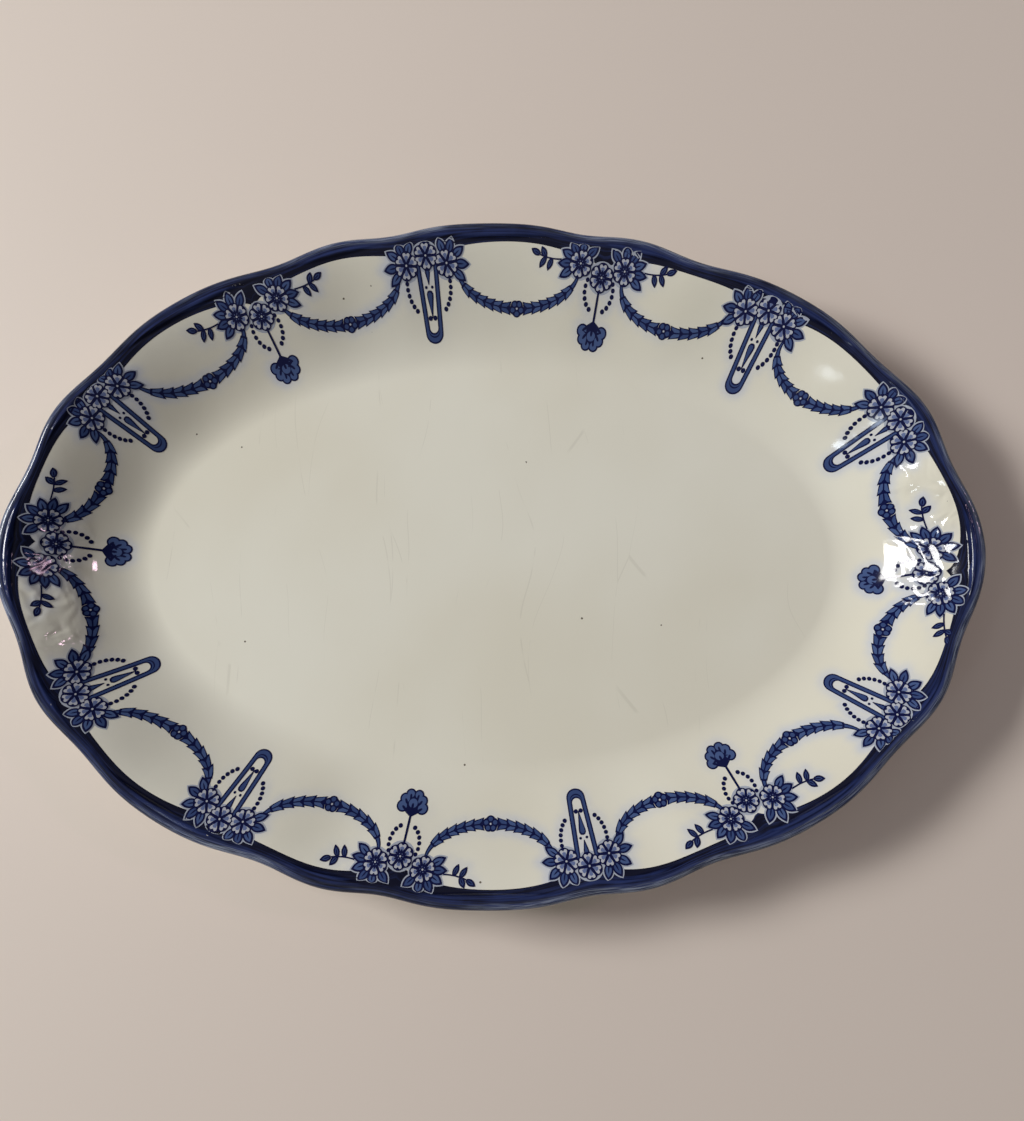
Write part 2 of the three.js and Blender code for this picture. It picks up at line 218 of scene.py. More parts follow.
# Ripples in the glaze lie on the rim at the oval's ends, turned a little further round. Both places are
# given as where the ripples start and over how much they grow: the cosine of the angle from the end, and
# the share of the rim. Elsewhere only a small share of their height is left.
RIPPLE_TURN = math.radians(4)
RIPPLE_COSINE = (0.96, 0.025)
RIPPLE_RIM = (0.38, 0.2)
RIPPLE_ELSEWHERE = 0.03

# How high each layer of print lies above the clay.
BAND_LIFT = 0.04
HALO_LIFT = 0.06
PENDANT_LIFT = 0.08
LEAF_LIFT = 0.14
FLOWER_LIFT = 0.22
LAYER = 0.02

# ------------------------------------------------------------------ the oval and its surface


def smooth(share):
    """Goes gently from 0 to 1 as the share does."""
    share = np.clip(share, 0, 1)
    return share * share * (3 - 2 * share)


def oval(angle, offset):
    """Plan x and y of the point at an angle and an offset."""
    return (WELL_LENGTH + offset) * np.cos(angle), (WELL_WIDTH + offset) * np.sin(angle)


def lip_bearing(angle):
    """Bearing of the lip from the centre, folded into one quarter, in degrees."""
    x, y = oval(angle, RIM_WIDTH)
    return np.degrees(np.arctan2(np.abs(y), np.abs(x)))


def lip_offset(angle):
    return RIM_WIDTH - depth_at_bearing(lip_bearing(angle)) - LIP_INSET


def crest_tilt(angle):
    """Slope of the upper surface where the lip starts to roll over, as an angle."""
    return np.arctan((CREST_HEIGHT - WELL_HEIGHT) * LIP_SLOPE / (lip_offset(angle) - CLAY))


def crest_offset(angle):
    return lip_offset(angle) - ROLL * (1 + np.sin(crest_tilt(angle)))


def moulding(angle, offset):
    """Height that the embossed rolls add to the upper surface."""
    bearing = lip_bearing(angle)
    notches = [at for at, _, _ in NOTCHES]
    ends = (-notches[0], *notches, 180 - notches[-1])
    height = 0
    for low, high in zip(ends, ends[1:]):
        along = (bearing - low) / (high - low)
        lens = np.sin(math.pi * np.clip(along, 0, 1))
        inside = CREASE_NEAR + (CREASE_FAR - CREASE_NEAR) * lens
        away = offset - lip_offset(angle) + inside
        past_end = np.maximum(-along, along - 1) / CREASE_OVERLAP
        ridge = RIDGE_HEIGHT * np.exp(-(((away - RIDGE_WIDTH) / RIDGE_WIDTH) ** 2))
        groove = GROOVE_DEPTH * np.exp(-((away / GROOVE_WIDTH) ** 2))
        fullness = ROLL_END_SHARE + (1 - ROLL_END_SHARE) * lens
        height = height + (1 - smooth(past_end)) * fullness * (ridge - groove)
    rise = smooth((offset - MOULDING_START) / MOULDING_FADE)
    fall = smooth((crest_offset(angle) - offset) / MOULDING_END_FADE)
    return height * rise * fall


def rise_height(share):
    share = np.clip(share, 0, 1)
    rise = (3 - LIP_SLOPE) * share**2 + (LIP_SLOPE - 2) * share**3
    return WELL_HEIGHT + (CREST_HEIGHT - WELL_HEIGHT) * rise


def rise_tilt(share, crest):
    """Slope of the upper surface, as an angle."""
    rise = 2 * (3 - LIP_SLOPE) * share + 3 * (LIP_SLOPE - 2) * share**2
    return np.arctan((CREST_HEIGHT - WELL_HEIGHT) * rise / crest)


def top_height(angle, offset):
    return rise_height(offset / crest_offset(angle)) + moulding(angle, offset)


def place_of(x, y):
    """Angle and offset of plan points, the offset found by halving."""
    low = np.full_like(x, 1 - WELL_WIDTH)
    high = np.full_like(x, RIM_WIDTH * 1.2)
    for _ in range(40):
        middle = (low + high) / 2
        outside = (x / (WELL_LENGTH + middle)) ** 2 + (y / (WELL_WIDTH + middle)) ** 2 > 1
        low = np.where(outside, middle, low)
        high = np.where(outside, high, middle)
    return np.arctan2(y / (WELL_WIDTH + low), x / (WELL_LENGTH + low)), low


def plan_height(x, y):
    return top_height(*place_of(x, y))


def ripple_share(angle, offset):
    """How thickly the glaze ran into ripples: most on the rim at both ends of the oval."""
    ends = smooth((np.abs(np.cos(angle - RIPPLE_TURN)) - RIPPLE_COSINE[0]) / RIPPLE_COSINE[1])
    rim = smooth((offset / RIM_WIDTH - RIPPLE_RIM[0]) / RIPPLE_RIM[1])
    return RIPPLE_ELSEWHERE + (1 - RIPPLE_ELSEWHERE) * ends * rim


def rim_stretch(angle, offset):
    """Millimetres along the rim for each radian of the oval's angle."""
    return np.hypot((WELL_LENGTH + offset) * np.sin(angle), (WELL_WIDTH + offset) * np.cos(angle))


# ------------------------------------------------------------------ making pieces


def add_piece(name, points, faces, materials, node):
    """A smooth mesh piece that rides with the platter and stands for one CAD node."""
    mesh = bpy.data.meshes.new(name)
    mesh.from_pydata((np.asarray(points) * MM).tolist(), [], faces)
    for material in materials:
        mesh.materials.append(material)
    mesh.shade_smooth()
    piece = bpy.data.objects.new(name, mesh)
    bpy.context.scene.collection.objects.link(piece)
    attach(piece, "root")
    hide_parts(node)
    return piece


def grid_faces(rows, columns):
    """Faces between rings of points, each ring closed on itself."""
    faces = []
    for row in range(rows - 1):
        here = row * columns
        there = here + columns
        for i in range(columns):
            j = (i + 1) % columns
            faces.append((here + i, there + i, there + j, here + j))
    return faces


def set_attribute(mesh, name, values):
    attribute = mesh.attributes.new(name, "FLOAT", "POINT")
    attribute.data.foreach_set("value", np.asarray(values, np.float32).ravel())


BAKE_MAP_MARGIN = 1.01


def add_bake_map(mesh, two_sided=False):
    """A map seen from above, to bake the materials onto. The underside has the map's other half."""
    side = 4 * (WELL_WIDTH + RIM_WIDTH) if two_sided else 2 * (WELL_LENGTH + RIM_WIDTH)
    size = side * BAKE_MAP_MARGIN * MM
    points = np.empty(len(mesh.vertices) * 3, np.float32)
    mesh.vertices.foreach_get("co", points)
    points = points.reshape(-1, 3)
    corners = np.empty(len(mesh.loops), np.int32)
    mesh.loops.foreach_get("vertex_index", corners)
    middle = 0.25 if two_sided else 0.5
    places = points[corners, :2] / size + (0.5, middle)
    if two_sided:
        turned = [face.normal.z < 0 for face in mesh.polygons]
        sides = np.repeat(turned, [face.loop_total for face in mesh.polygons])
        places[:, 1] += 0.5 * sides
    layer = mesh.uv_layers.new(name="OFBake")
    layer.data.foreach_set("uv", places.astype(np.float32).ravel())


SEGMENTS = 720
ANGLES = np.linspace(0, 2 * math.pi, SEGMENTS, endpoint=False)


def ring(offset, height):
    """A ring of points all round the oval."""
    x, y = oval(ANGLES, offset)
    return np.stack([x, y, np.broadcast_to(height, x.shape)], axis=1)


def roll_ring(turn, grow=0):
    """A ring on the rounded lip. The turn goes from 0 at the crest to 1 where the underside starts."""
    tilt = crest_tilt(ANGLES)
    lean = turn * math.pi - tilt
    offset = lip_offset(ANGLES) - ROLL + (ROLL + grow) * np.sin(lean)
    height = CREST_HEIGHT - ROLL * np.cos(tilt) + (ROLL + grow) * np.cos(lean)
    return ring(offset, height)


def well_ring(share, height):
    """A ring inside the well, at a share of the way from the middle to the well's edge."""
    x, y = oval(ANGLES, 0)
    return np.stack([x * share, y * share, np.full_like(x, height)], axis=1)


# The side's rings lie closer together from this share of its width outwards, where the rolls are.
FINE_FROM = 0.84


def body_rings():
    """Rings from the middle of the well, over the lip and back to the middle of the underside."""
    crest = crest_offset(ANGLES)
    well_shares = np.linspace(0.06, 1, 12)
    coarse_shares = np.linspace(0, FINE_FROM, 30)[1:]
    fine_shares = np.linspace(FINE_FROM, 1, 27)[1:]
    rings = [well_ring(share, WELL_HEIGHT) for share in well_shares]
    for share in (*coarse_shares, *fine_shares):
        offset = share * crest
        rings.append(ring(offset, top_height(ANGLES, offset)))
    rings += [roll_ring(turn) for turn in np.linspace(0, 1, 15)[1:]]
    for share in np.linspace(1, 0, 25)[1:]:
        tilt = rise_tilt(share, crest)
        rings.append(ring(share * crest + CLAY * np.sin(tilt), rise_height(share) - CLAY * np.cos(tilt)))
    rings += [well_ring(share, FOOT_HEIGHT) for share in well_shares[-2::-1]]
    return rings


def make_body(material):
    rings = body_rings()
    points = np.concatenate([*rings, [[0, 0, WELL_HEIGHT], [0, 0, FOOT_HEIGHT]]])
    faces = grid_faces(len(rings), SEGMENTS)
    top, bottom = len(points) - 2, len(points) - 1
    last = (len(rings) - 1) * SEGMENTS
    for i in range(SEGMENTS):
        j = (i + 1) % SEGMENTS
        faces.append((top, i, j))
        faces.append((bottom, last + j, last + i))
    body = add_piece("glazed_body", points, faces, [material], "platter_body")
    angle, offset = place_of(points[:, 0], points[:, 1])
    set_attribute(body.data, "rim_share", offset / RIM_WIDTH)
    set_attribute(body.data, "ripple", ripple_share(angle, offset))
    add_bake_map(body.data, two_sided=True)
    return body


def mark_flow(body, prints):
    """Marks where the body lies near the print, for the blue that ran into the glaze there."""
    places = [vertex.co for piece in prints for vertex in piece.data.vertices]
    tree = KDTree(len(places))
    for index, place in enumerate(places):
        tree.insert(place, index)
    tree.balance()
    distances = np.array([tree.find(vertex.co)[2] for vertex in body.data.vertices]) / MM
    set_attribute(body.data, "flow", np.exp(-((distances / FLOW_REACH) ** 2)))


def make_foot(material):
    """The foot is a ring with a rounded standing edge and a small fillet where it meets the clay."""
    outer = -FOOT_INSET
    inner = outer - FOOT_WIDTH
    middle = (outer + inner) / 2
    half_top = FOOT_WIDTH / 2
    half_edge = half_top - FOOT_TAPER
    edge = FOOT_EDGE_RADIUS
    profile = [
        (half_top, FOOT_HEIGHT),
        (half_edge + FOOT_TAPER / 2, FOOT_HEIGHT * 0.8),
        (half_edge + FOOT_TAPER / 7, FOOT_HEIGHT * 0.55),
    ]
    for step in range(7):
        turn = math.radians(15 * step)
        profile.append((half_edge - edge + edge * math.cos(turn), edge - edge * math.sin(turn)))
    outline = [(middle + side, height) for side, height in profile]
    outline += [(middle - side, height) for side, height in reversed(profile)]
    rings = [ring(offset, height) for offset, height in outline]
    faces = grid_faces(len(rings), SEGMENTS)
    return add_piece("foot", np.concatenate(rings), faces, [material], "foot_ring")


def band_inner_offset(angle):
    """The band arches over each panel and comes down behind the sprays."""
    places = np.radians([spray[1] for spray in SPRAYS])
    here = np.mod(angle - places[0], 2 * math.pi) + places[0]
    ends = np.append(places, places[0] + 2 * math.pi)
    index = np.searchsorted(ends, here, side="right") - 1
    index = np.clip(index, 0, len(places) - 1)
    across = (2 * here - ends[index] - ends[index + 1]) / (ends[index + 1] - ends[index])
    arch = 1 - np.sqrt(1 - np.minimum(1, across**2))
    return RIM_WIDTH - BAND_NARROW - BAND_ARCH * arch - BAND_WAVE * depth_at_bearing(lip_bearing(angle))


def make_band(material):
    """The band runs from its arched inner edge over the crest to the outside of the lip."""
    inner = band_inner_offset(ANGLES)
    crest = crest_offset(ANGLES)
    rings, across, relief = [], [], []
    flat_steps = 30
    roll_steps = 8
    for step in range(flat_steps):
        offset = inner + (crest - inner) * step / flat_steps
        rings.append(ring(offset, top_height(ANGLES, offset) + BAND_LIFT))
        across.append(np.full(SEGMENTS, step / flat_steps))
        relief.append(moulding(ANGLES, offset))
    for step in range(roll_steps + 1):
        rings.append(roll_ring(BAND_TURN * step / roll_steps, BAND_LIFT))
        across.append(np.full(SEGMENTS, 1 + step / roll_steps))
        relief.append(np.zeros(SEGMENTS))
    faces = grid_faces(len(rings), SEGMENTS)
    band = add_piece("band_print", np.concatenate(rings), faces, [material], "border_band")
    set_attribute(band.data, "across", across)
    set_attribute(band.data, "relief", relief)
    ripple = BAND_RIPPLE * np.tile(ripple_share(ANGLES, RIM_WIDTH), len(rings))
    set_attribute(band.data, "ripple", ripple)
    add_bake_map(band.data)
    return band


# ------------------------------------------------------------------ drawing on the rim

INK_NAMES = ("halo", "ink_dark", "ink_mid", "ink_soft", "petal", "petal_shade")


class Drawing:
    """Coloured shapes gathered into one mesh. place() turns local points into plan x and y."""

    def __init__(self, place):
        self.place = place
        self.count = 0
        self.points = []
        self.lifts = []
        self.faces = []
        self.inks = []

    def _add(self, local, faces, ink, lift):
        self.points.append(np.stack(self.place(local[:, 0], local[:, 1]), axis=1))
        self.lifts.append(np.full(len(local), lift))
        self.faces += [tuple(self.count + i for i in face) for face in faces]
        self.inks += [INK_NAMES.index(ink)] * len(faces)
        self.count += len(local)

    def strip(self, side, other_side, ink, lift):
        """Fills the space between two lines of as many points each."""
        side, other_side = np.asarray(side, float), np.asarray(other_side, float)
        count = len(side)
        faces = [(i, i + 1, count + i + 1, count + i) for i in range(count - 1)]
        self._add(np.concatenate([side, other_side]), faces, ink, lift)

    def fill(self, outline, ink, lift, centre=None):
        """Fills an outline that its centre sees all of."""
        outline = np.asarray(outline, float)
        centre = outline.mean(axis=0) if centre is None else np.asarray(centre, float)
        count = len(outline)
        inner = (outline + centre) / 2
        faces = []
        for i in range(count):
            j = (i + 1) % count
            faces.append((i, j, count + j, count + i))
            faces.append((count + i, count + j, 2 * count))
        self._add(np.concatenate([outline, inner, [centre]]), faces, ink, lift)

    def dot(self, centre, radius, ink, lift, sides=12):
        self.fill(circle(centre, radius, sides), ink, lift, centre)

    def line(self, path, width, ink, lift):
        """A line of even or changing width along a path."""
        path = np.asarray(path, float)
        across = normals_of(path) * np.reshape(width, (-1, 1)) / 2
        self.strip(path + across, path - across, ink, lift)

    def finish(self, name, inks, node):
        x, y = kept_inside(*np.concatenate(self.points).T)
        points = np.stack([x, y], axis=1)
        heights = plan_height(x, y) + np.concatenate(self.lifts)
        faces = [face if is_upright(points, face) else face[::-1] for face in self.faces]
        piece = add_piece(name, np.stack([x, y, heights], axis=1), faces, inks, node)
        piece.data.polygons.foreach_set("material_index", self.inks)
        piece.data.normals_split_custom_set_from_vertices(surface_normals(x, y))
        set_attribute(piece.data, "ripple", ripple_share(*place_of(x, y)))
        return piece


def kept_inside(x, y):
    """Draws in what would reach the lip, ever more gently towards the print's outer limit."""
    angle, offset = place_of(x, y)
    limit = lip_offset(angle) - PRINT_MARGIN
    excess = np.maximum(offset - limit + PRINT_GIVE, 0)
    eased = np.where(excess > 0, limit - PRINT_GIVE * np.exp(-excess / PRINT_GIVE), offset)
    return oval(angle, eased)


def is_upright(points, face):
    """True if a face runs anticlockwise seen from above."""
    corners = points[list(face)]
    ahead = np.roll(corners, -1, axis=0)
    return np.sum(corners[:, 0] * ahead[:, 1] - corners[:, 1] * ahead[:, 0]) > 0


def surface_normals(x, y):
    """Normals of the glaze itself, so that the print shines as one with it."""
    step = 0.1
    slope_x = (plan_height(x + step, y) - plan_height(x - step, y)) / (2 * step)
    slope_y = (plan_height(x, y + step) - plan_height(x, y - step)) / (2 * step)
    normals = np.stack([-slope_x, -slope_y, np.ones_like(x)], axis=1)
    return normals / np.linalg.norm(normals, axis=1, keepdims=True)


def normals_of(path):
    """Unit vectors square to a path."""
    ahead = np.gradient(path, axis=0)
    ahead /= np.linalg.norm(ahead, axis=1, keepdims=True)
    return np.stack([-ahead[:, 1], ahead[:, 0]], axis=1)


def circle(centre, radius, sides=12):
    turns = np.linspace(0, 2 * math.pi, sides, endpoint=False)
    return np.stack([centre[0] + radius * np.cos(turns), centre[1] + radius * np.sin(turns)], axis=1)


def polar(centre, degrees, distance):
    turn = math.radians(degrees)
    return np.array([centre[0] + distance * math.cos(turn), centre[1] + distance * math.sin(turn)])


def turned(points, degrees, centre):
    """Points given along and beside a direction, turned to it and moved to a centre."""
    points = np.asarray(points, float)
    turn = math.radians(degrees)
    along, beside = points[:, 0], points[:, 1]
    x = centre[0] + along * math.cos(turn) - beside * math.sin(turn)
    y = centre[1] + along * math.sin(turn) + beside * math.cos(turn)
    return np.stack([x, y], axis=1)


def mirrored(half):
    """A closed outline from its upper half, whose first and last points lie on the axis."""
    half = [tuple(point) for point in half]
    return half + [(x, -y) for x, y in half[-2:0:-1]]


# ------------------------------------------------------------------ flowers and leaves


def leaf_sides(base, degrees, length, width):
    """Both edges of a pointed leaf."""
    shares = np.linspace(0, 1, 9)
    half = np.maximum(np.sin(math.pi * (0.13 + 0.87 * shares)) ** 0.85 * width / 2, 0.02)
    upper = turned(np.stack([shares * length, half], axis=1), degrees, base)
    lower = turned(np.stack([shares * length, -half], axis=1), degrees, base)
    return upper, lower


def draw_leaf(
    drawing, base, degrees, length=LEAF_LENGTH, width=LEAF_WIDTH, tone="ink_mid", lift=LEAF_LIFT
):
    """A leaf with a dark outline and a dark vein from its base."""
    drawing.strip(*leaf_sides(base, degrees, length, width), "ink_dark", lift)
    inner = polar(base, degrees, LINE)
    drawing.strip(*leaf_sides(inner, degrees, length - 2.8 * LINE, width - 2 * LINE), tone, lift + LAYER)
    vein = leaf_sides(inner, degrees, length * VEIN_SHARE, VEIN_WIDTH)
    drawing.strip(*vein, "ink_dark", lift + 1.5 * LAYER)


def draw_leaf_halo(drawing, base, degrees):
    start = polar(base, degrees, -HALO)
    sides = leaf_sides(start, degrees, LEAF_LENGTH + 2.2 * HALO, LEAF_WIDTH + 2 * HALO)
    drawing.strip(*sides, "halo", HALO_LIFT)


def scalloped(centre, radius, lobes, depth, first, sides=48):
    """A round outline with lobes."""
    turns = np.linspace(0, 2 * math.pi, sides, endpoint=False)
    swell = 1 - depth + depth * np.abs(np.cos(lobes * (turns - math.radians(first)) / 2))
    x = centre[0] + radius * swell * np.cos(turns)
    y = centre[1] + radius * swell * np.sin(turns)
    return np.stack([x, y], axis=1)


# A petal is a heart with its point at the flower's middle, in shares of the flower's radius.
PETAL = mirrored(
    ((0.24, 0), (0.45, 0.13), (0.66, 0.27), (0.78, 0.29), (0.86, 0.22), (0.86, 0.11), (0.75, 0))
)
PETAL_SHADE = mirrored(((0.22, 0), (0.44, 0.12), (0.62, 0.16), (0.7, 0)))


def draw_flower(drawing, centre, first, rayed):
    """Heart-shaped petals with dark outlines round a small middle, or round a dark rayed one."""
    lift = FLOWER_LIFT
    outline = scalloped(centre, FLOWER_RADIUS * 1.02, PETALS, 0.14, first)
    drawing.fill(outline, "ink_dark", lift, centre)
    for petal in range(PETALS):
        direction = first + petal * 360 / PETALS
        for shape, ink, layer in ((PETAL, "petal", 1), (PETAL_SHADE, "petal_shade", 2)):
            edge = turned(np.array(shape) * FLOWER_RADIUS, direction, centre)
            drawing.fill(edge, ink, lift + layer * LAYER)
    if rayed:
        star = scalloped(centre, FLOWER_RADIUS * 0.5, 2 * PETALS, 0.4, first, sides=72)
        drawing.fill(star, "ink_dark", lift + 3 * LAYER, centre)
        for bead in range(PETALS):
            place = polar(centre, first + 30 + bead * 360 / PETALS, FLOWER_RADIUS * 0.2)
            drawing.dot(place, 0.16, "petal_shade", lift + 4 * LAYER, sides=8)
        drawing.dot(centre, 0.34, "petal", lift + 4 * LAYER, sides=10)
    else:
        drawing.dot(centre, 0.75, "ink_dark", lift + 3 * LAYER)
        drawing.dot(centre, 0.36, "petal", lift + 4 * LAYER, sides=10)


def draw_sprig(drawing, start, degrees, side):
    """A thin stem with a small leaf at its tip, two further down and one below those."""
    bend = SPRIG_BEND * side
    path = [polar(start, degrees + bend * share, SPRIG_LENGTH * share) for share in np.linspace(0, 1, 8)]
    drawing.line(path, STEM_WIDTH * 0.6, "ink_dark", LEAF_LIFT)
    for step, aside in SPRIG_LEAVES:
        draw_leaf(drawing, path[step], degrees + aside * side, SPRIG_LEAF_LENGTH, SPRIG_LEAF_WIDTH)


def spray_frame(index):
    """Turns (along the rim, outwards) at a spray into plan x and y, bent round with the rim."""
    _, at, lean, offset, reach = SPRAYS[index]
    angle = math.radians(at)
    length, width = WELL_LENGTH + offset, WELL_WIDTH + offset
    stretch = rim_stretch(angle, offset)
    radius = stretch**3 / (length * width)
    centre = np.array(oval(angle, offset))
    turn = math.atan2(width * math.cos(angle), -length * math.sin(angle)) + math.radians(lean)
    tangent = np.array([math.cos(turn), math.sin(turn)])
    outwards = np.array([tangent[1], -tangent[0]])

    def place(along, out):
        bent = np.where(out < 0, out * reach, out) - along**2 / (2 * radius)
        return (
            centre[0] - along * tangent[0] + bent * outwards[0],
            centre[1] - along * tangent[1] + bent * outwards[1],
        )

    return place


def make_spray(index, inks):
    drawing = Drawing(spray_frame(index))
    is_loop = SPRAYS[index][0] == "loop"
    flowers = LOOP_FLOWERS if is_loop else BLOSSOM_FLOWERS
    directions = LOOP_LEAVES if is_loop else BLOSSOM_LEAVES
    for side in (-1, 1):
        flower = flowers[1 + side]
        for number, degrees in enumerate(directions):
            direction = degrees if side > 0 else 180 - degrees
            base = polar(flower, direction, LEAF_START)
            draw_leaf_halo(drawing, base, direction)
            if number % 2:
                draw_leaf(drawing, base, direction)
            else:
                draw_leaf(drawing, base, direction, tone="ink_soft", lift=LEAF_LIFT + 2 * LAYER)
    for number, flower in enumerate(flowers):
        drawing.dot(flower, FLOWER_RADIUS + HALO, "halo", HALO_LIFT, sides=24)
        draw_flower(drawing, flower, 90 + 7 * (number - 1), rayed=not is_loop)
    if not is_loop:
        draw_sprig(drawing, polar(flowers[2], 6, SPRIG_START), -4, 1)
        draw_sprig(drawing, polar(flowers[0], 174, SPRIG_START), 184, -1)
    name = f"flower_spray_{index + 1:02d}"
    return drawing.finish(f"print_{name}", inks, name)


# ------------------------------------------------------------------ pendants


def hairpin(side_inset, end_inset):
    """A line down one arm, round the end and up the other arm, drawn in from the outermost line."""
    top = LOOP_TOP_WIDTH / 2 - side_inset
    end = LOOP_END_WIDTH / 2 - side_inset
    centre = -LOOP_LENGTH + end + end_inset
    arm = np.linspace(0, 1, 14)[:-1]
    down = [(-top + (top - end) * share, centre * share) for share in arm]
    turns = np.linspace(math.pi, 2 * math.pi, 13)
    end_round = [(end * math.cos(turn), centre + end * math.sin(turn)) for turn in turns]
    return down + end_round + [(-x, y) for x, y in down[::-1]]


def oval_beads(drawing, half_width, half_height, centre, cover):
    """Beads at an even pitch round an oval, apart from those that something covers."""
    turns = np.linspace(0, 2 * math.pi, 721)
    x = half_width * np.cos(turns)
    y = -centre + half_height * np.sin(turns)
    length = np.concatenate([[0], np.cumsum(np.hypot(np.diff(x), np.diff(y)))])
    count = round(length[-1] / BEAD_PITCH / 2) * 2
    for step in range(count):
        along = length[-1] * ((step + 0.5) / count + 0.25)
        turn = np.interp(along, length, turns, period=length[-1])
        bead = np.array([half_width * math.cos(turn), -centre + half_height * math.sin(turn)])
        if cover[0] <= abs(bead[0]) < cover[1] or bead[1] > FLOWER_COVER:
            continue
        depth = (-bead[1] + half_height - centre) / (2 * half_height)
        radius = BEAD_RADIUS * (0.85 + 0.15 * depth)
        drawing.dot(bead, radius, "ink_dark", PENDANT_LIFT)


# The hairpin's lines, drawn in beside its arms and at its end, and the ink between each and the next.
HAIRPIN_INSETS = ((0, 0), (0.48, 0.6), (1.2, 2), (1.28, 2.5), (1.36, 3), (1.78, 3.6))
HAIRPIN_TONES = ("ink_dark", "ink_mid", "ink_dark", "ink_mid", "ink_dark")


def draw_loop(drawing):
    """A hairpin loop with a doubled line inside its round end."""
    lines = [hairpin(side, end) for side, end in HAIRPIN_INSETS]
    for edge, next_edge, tone in zip(lines, lines[1:], HAIRPIN_TONES):
        drawing.strip(edge, next_edge, tone, PENDANT_LIFT)


# The small triangle inside the hairpin, one half of the long drop below it, and the drop's middle.
TRIANGLE = ((-1.5, -1.6), (1.5, -1.6), (0.12, -7.3), (-0.12, -7.3))
TEARDROP = ((0, -8.9), (0.8, -9.1), (1.25, -9.9), (1.2, -11), (0.75, -13.5), (0.12, -17.3))
TEARDROP_MIDDLE = -11


def draw_teardrops(drawing):
    """The hanging triangle, its two dots and the long drop inside the loop."""
    lift = PENDANT_LIFT
    top = TRIANGLE[0][1]
    drawing.fill(TRIANGLE, "ink_dark", lift)
    drawing.fill([(x * 0.55, top + (y - top) * 0.78) for x, y in TRIANGLE], "ink_mid", lift + LAYER)
    for side in (-1, 1):
        drawing.dot((1.15 * side, -8), 0.5, "ink_dark", lift)
    outline = [*TEARDROP, *((-x, y) for x, y in TEARDROP[:0:-1])]
    middle = TEARDROP_MIDDLE
    drawing.fill(outline, "ink_dark", lift, (0, middle))
    inner = [(x * 0.6 - 0.1, middle + (y - middle) * 0.72) for x, y in outline]
    drawing.fill(inner, "ink_mid", lift + LAYER, (-0.1, middle))


# The dark collar that joins the hanging blossom to its stem, from the neck.
COLLAR = ((-0.4, 0.3), (0.4, 0.3), (2.6, -1.2), (4.4, -2.4), (0, -5), (-4.4, -2.4), (-2.6, -1.2))


def draw_palmette(drawing):
    """The hanging blossom: a collar, pairs of round lobes in three rows and one lobe in the middle."""
    lift = PENDANT_LIFT
    drawing.fill([(x, y - DROP_NECK) for x, y in COLLAR], "ink_dark", lift)
    for step, (x, y, radius) in enumerate(PALMETTE_LOBES):
        for side in (-1, 1) if x else (1,):
            centre = np.array([x * side, y - DROP_NECK])
            drawing.dot(centre, radius, "ink_dark", lift + 0.3 * LAYER * step, sides=20)
            drawing.dot(centre, radius - LINE, "ink_soft", lift + LAYER * (1 + 0.3 * step), sides=16)
            inwards = math.degrees(math.atan2(-y, -centre[0]))
            comma = leaf_sides(centre, inwards, radius * 1.1, radius * 0.42)
            drawing.strip(*comma, "ink_dark", lift + LAYER * (2 + 0.3 * step))


def make_pendant(index, inks):
    kind = SPRAYS[index][0]
    drawing = Drawing(spray_frame(index))
    if kind == "loop":
        draw_loop(drawing)
        draw_teardrops(drawing)
        oval_beads(drawing, *LOOP_OVAL, LOOP_COVER)
    else:
        drawing.line([(0, -2), (0, -8), (0, -DROP_NECK)], STEM_WIDTH, "ink_dark", PENDANT_LIFT)
        draw_palmette(drawing)
        oval_beads(drawing, *DROP_OVAL, DROP_COVER)
    name = f"{kind}_pendant_{index + 1:02d}"
    return drawing.finish(f"print_{name}", inks, name)


# ------------------------------------------------------------------ garlands


def garland_path(index):
    """Plan points of the garland's middle line, from one spray to the next."""
    kind, at = SPRAYS[index][:2]
    next_kind, next_at = SPRAYS[(index + 1) % len(SPRAYS)][:2]
    start = math.radians(at)
    end = math.radians(next_at + (360 if next_at < at else 0))
    start += GARLAND_END_GAP[kind] / rim_stretch(start, GARLAND_TOP)
    end -= GARLAND_END_GAP[next_kind] / rim_stretch(end, GARLAND_TOP)
    turns = np.linspace(0, math.pi, 181)
    angle = (start + end) / 2 - (end - start) / 2 * np.cos(turns)
    return np.stack(oval(angle, GARLAND_TOP - GARLAND_SAG * np.sin(turns)), axis=1)


def path_frame(path):
    """Turns (distance along the path, distance beside it) into plan x and y, and gives its length."""
    steps = np.hypot(*np.diff(path, axis=0).T)
    length = np.concatenate([[0], np.cumsum(steps)])
    normals = normals_of(path)

    def place(along, beside):
        x, y = (np.interp(along, length, path[:, i]) for i in range(2))
        normal_x, normal_y = (np.interp(along, length, normals[:, i]) for i in range(2))
        return x + beside * normal_x, y + beside * normal_y

    return place, length[-1]


# One husk along the garland, in shares of its pitch and of half its width: it opens to two barbs.
HUSK = mirrored(
    ((-0.1, 0), (-0.1, 0.6), (0.3, 0.74), (0.75, 0.86), (1.2, 1.04), (1.14, 0.72), (1.1, 0.3), (1.06, 0))
)
HUSK_STREAK = ((0.06, 0.1), (0.12, 0.46), (0.5, 0.64), (0.98, 0.84), (0.92, 0.46), (0.66, 0.12))


def draw_husk(drawing, start, forwards, pitch, half_width, tone):
    """A cup with two barbs that opens towards the rosette."""
    scale = np.array([pitch * forwards, half_width])
    origin = np.array([start, 0])
    middle = origin + (0.55 * pitch * forwards, 0)
    drawing.fill(np.array(HUSK) * scale + origin, "ink_dark", PENDANT_LIFT, middle)
    for side in (-1, 1):
        streak = np.array(HUSK_STREAK) * scale * (1, side) + origin
        drawing.fill(streak, tone, PENDANT_LIFT + LAYER)


